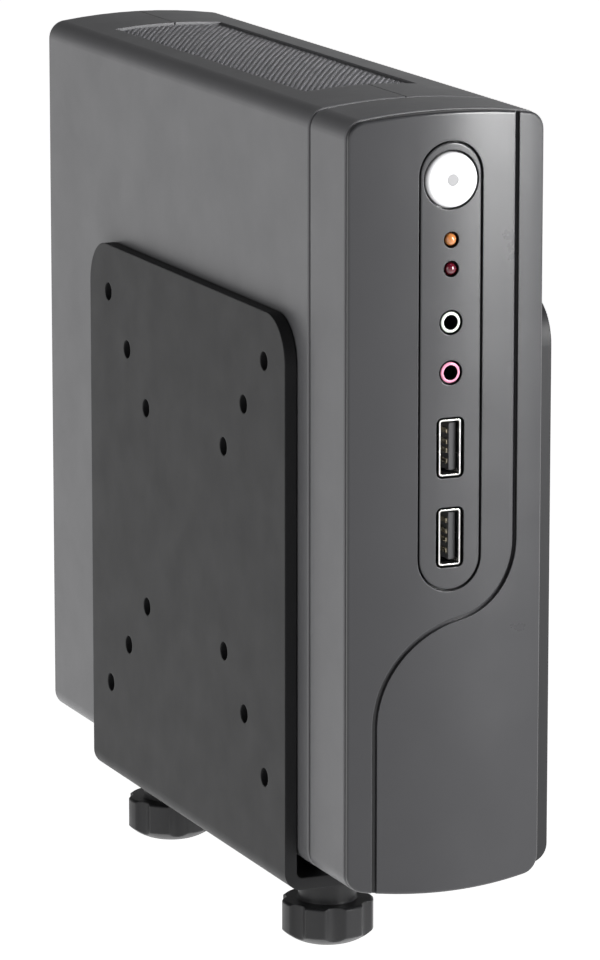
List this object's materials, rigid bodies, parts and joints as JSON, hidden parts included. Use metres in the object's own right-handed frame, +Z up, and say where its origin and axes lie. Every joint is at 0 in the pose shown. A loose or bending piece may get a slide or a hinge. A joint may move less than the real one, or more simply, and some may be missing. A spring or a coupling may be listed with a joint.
{
  "type": "mini pc",
  "caption": "Slim upright desktop computer in a folded clamp bracket with square mounting hole patterns and star knobs underneath.",
  "frame": {"origin": "centre of the 100 mm square of holes, on the outer face of the bracket's left plate", "axes": "+X from the left plate through the case to the right plate, +Y to the rear, +Z up"},
  "size_m": [0.068, 0.1949, 0.204],
  "materials": {
    "bracket_paint": "fine satin powder coat",
    "cover_plastic": "fine satin, light spark texture",
    "panel_plastic": "semi-gloss",
    "strip_plastic": "semi-gloss",
    "button_plastic": "smooth, slightly pearly",
    "mark_grey": "smooth",
    "amber_lens": "clear tinted",
    "red_lens": "clear tinted",
    "jack_pale": "smooth",
    "jack_pink": "smooth",
    "black_plastic": "moulded",
    "knob_plastic": "moulded, soft sheen",
    "vent_mesh": "satin coat",
    "zinc": "bright zinc plate",
    "steel": "bright nickel plate",
    "sheet_steel": "galvanised sheet",
    "circuit_board": "solder mask",
    "contact_gold": "plated",
    "brass": "turned",
    "heatsink_alu": "extruded",
    "drive_alu": "brushed",
    "white_plastic": "moulded"
  },
  "bodies": {
    "bracket": {"cradle": "bracket_paint", "clamp_bushes": "zinc"},
    "front_washer": {"washer_front": "zinc"},
    "front_knob": {"knob_front": "knob_plastic", "stud_front": "zinc"},
    "rear_washer": {"washer_rear": "zinc"},
    "rear_knob": {"knob_rear": "knob_plastic", "stud_rear": "zinc"},
    "case": {"left_cover": "cover_plastic", "right_cover": "cover_plastic", "top_mesh": "vent_mesh", "front_band": "cover_plastic", "front_panel": "panel_plastic", "port_panel": "strip_plastic", "power_switch": "black_plastic", "led_amber": "amber_lens", "led_red": "red_lens", "headphone_ring": "jack_pale", "headphone_jack": "black_plastic", "microphone_ring": "jack_pink", "microphone_jack": "black_plastic", "usb_upper": "steel", "usb_lower": "steel", "usb_tongues": "black_plastic", "usb_contacts": "contact_gold", "front_board": "circuit_board", "io_carrier": "black_plastic", "io_screws": "steel", "front_cable": "black_plastic", "chassis": "sheet_steel", "base_inserts": "brass", "motherboard": "circuit_board", "standoffs": "brass", "board_screws": "steel", "cpu_socket": "black_plastic", "cpu": "steel", "heatsink": "heatsink_alu", "sink_screws": "steel", "fan_frame": "black_plastic", "memory_sockets": "white_plastic", "memory_modules": "circuit_board", "battery_holder": "black_plastic", "clock_battery": "steel", "power_stage": "black_plastic", "chipset_sink": "heatsink_alu", "rear_lan": "steel", "rear_usb": "steel", "rear_tongues": "black_plastic", "rear_video": "steel", "rear_jacks": "black_plastic", "dc_jack": "black_plastic", "dc_pin": "brass", "io_shield": "sheet_steel", "rear_screws": "steel", "drive": "drive_alu", "drive_bracket": "sheet_steel"},
    "button": {"power_button": "button_plastic", "button_mark": "mark_grey", "switch_plunger": "black_plastic"},
    "fan": {"fan_rotor": "black_plastic"}
  },
  "joints": [
    {"name": "case_lift", "type": "slide", "parent": "bracket", "child": "case", "axis": [0, 0, 1], "range_m": [0, 0.145]},
    {"name": "front_knob_travel", "type": "slide", "parent": "bracket", "child": "front_washer", "axis": [0, 0, -1], "range_m": [0, 0.007]},
    {"name": "front_knob_turn", "type": "hinge", "parent": "front_washer", "child": "front_knob", "pos_m": [0.0162, -0.05, -0.0749], "axis": [0, 0, -1], "range_deg": [0, 2520]},
    {"name": "rear_knob_travel", "type": "slide", "parent": "bracket", "child": "rear_washer", "axis": [0, 0, -1], "range_m": [0, 0.007]},
    {"name": "rear_knob_turn", "type": "hinge", "parent": "rear_washer", "child": "rear_knob", "pos_m": [0.0162, 0.05, -0.0749], "axis": [0, 0, -1], "range_deg": [0, 2520]},
    {"name": "power_press", "type": "slide", "parent": "case", "child": "button", "axis": [0, 1, 0], "range_m": [0, 0.0012], "stiffness_N_per_m": 1500, "springref_m": -0.0004},
    {"name": "fan_spin", "type": "hinge", "parent": "case", "child": "fan", "pos_m": [0.0364, 0.01125, 0.0449], "axis": [1, 0, 0], "continuous": true}
  ],
  "couplings": [
    {"joint": "front_knob_travel", "follows": "front_knob_turn", "m_per_rad": 0.00015915},
    {"joint": "rear_knob_travel", "follows": "rear_knob_turn", "m_per_rad": 0.00015915}
  ]
}
